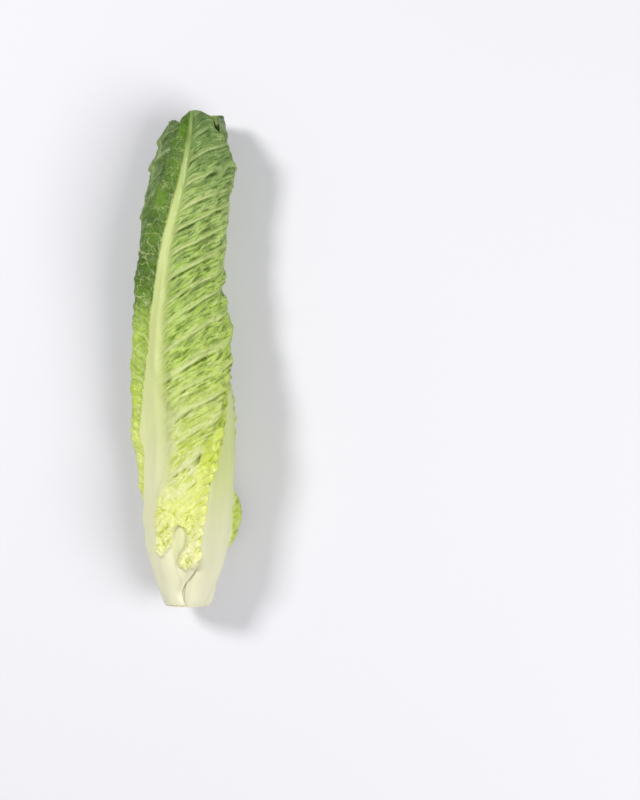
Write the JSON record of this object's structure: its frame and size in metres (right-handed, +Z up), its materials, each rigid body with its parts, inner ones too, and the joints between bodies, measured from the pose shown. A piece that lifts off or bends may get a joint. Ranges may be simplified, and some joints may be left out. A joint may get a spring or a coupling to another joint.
{
  "type": "romaine lettuce heart",
  "caption": "Trimmed head of romaine lettuce lying on its side: long ribbed leaves with waved margins wrapped round a short cut stem.",
  "frame": {"origin": "on the surface the head lies on, under the middle of its bounding box", "axes": "+Z up from the surface, +Y along the head from the cut stem to the leaf tips, +X to the right when seen from above with the tips away"},
  "size_m": [0.0568, 0.246, 0.0484],
  "materials": {
    "stem": "moist cut stem, cream white, browned a little at the cut",
    "outer_leaf": "waxy, crinkled green blade over a smooth pale green-white rib",
    "dark_leaf": "waxy, crinkled dark green blade with pale netted veins",
    "middle_leaf": "waxy, crinkled yellow-green blade over a smooth pale rib",
    "heart_leaf": "tender pale yellow blade over a creamy rib"
  },
  "bodies": {
    "root": {"stem": "stem", "leaf_01": "outer_leaf", "leaf_02": "outer_leaf", "leaf_03": "dark_leaf", "leaf_04": "outer_leaf", "leaf_05": "outer_leaf", "leaf_06": "middle_leaf", "leaf_07": "middle_leaf", "leaf_08": "middle_leaf", "leaf_09": "middle_leaf", "leaf_10": "heart_leaf", "leaf_11": "heart_leaf", "leaf_12": "heart_leaf", "leaf_13": "heart_leaf", "leaf_14": "heart_leaf", "leaf_15": "heart_leaf"}
  },
  "joints": []
}
